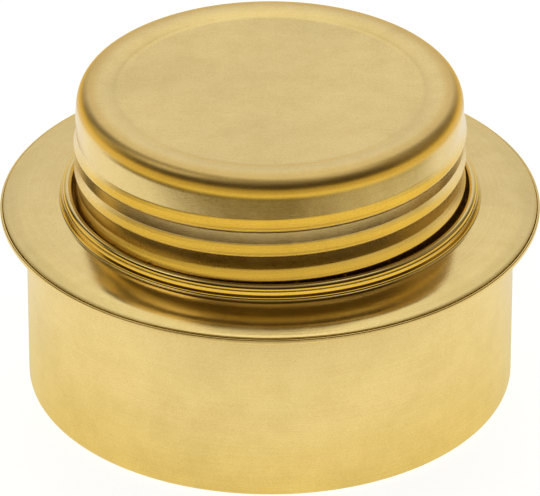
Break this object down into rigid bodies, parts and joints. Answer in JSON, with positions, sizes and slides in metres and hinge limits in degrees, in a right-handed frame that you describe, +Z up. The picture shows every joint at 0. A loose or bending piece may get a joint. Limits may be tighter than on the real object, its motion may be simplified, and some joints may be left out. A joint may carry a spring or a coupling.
{
  "type": "spirit burner with screw cap",
  "caption": "Round pressed-brass spirit burner with a wide flange, rolled neck, inner fuel well, fibre packing and a threaded cap with a rubber sealing ring.",
  "frame": {"origin": "centre of the base, on the surface the burner stands on", "axes": "+Z up along the round body's axis, through the cap"},
  "size_m": [0.075, 0.075, 0.0454],
  "materials": {
    "brass_body": "satin, drawn",
    "brass_plate": "satin, pressed",
    "brass_well": "satin, pressed",
    "brass_cap": "fine brushed",
    "fibre": "loose fibre",
    "rubber": "matt"
  },
  "bodies": {
    "burner": {"cup": "brass_body", "top_plate": "brass_plate", "well": "brass_well", "packing": "fibre"},
    "ring": {"seal_ring": "rubber"},
    "cap": {"cap": "brass_cap"}
  },
  "joints": [
    {"name": "cap_lift", "type": "slide", "parent": "burner", "child": "ring", "axis": [0, 0, 1], "range_m": [-0.00683, 0.00455]},
    {"name": "cap_turn", "type": "hinge", "parent": "ring", "child": "cap", "pos_m": [0, 0, 0.035], "axis": [0, 0, 1], "range_deg": [-630, 420]}
  ],
  "couplings": [
    {"joint": "cap_turn", "follows": "cap_lift", "rad_per_m": 1611.1}
  ]
}
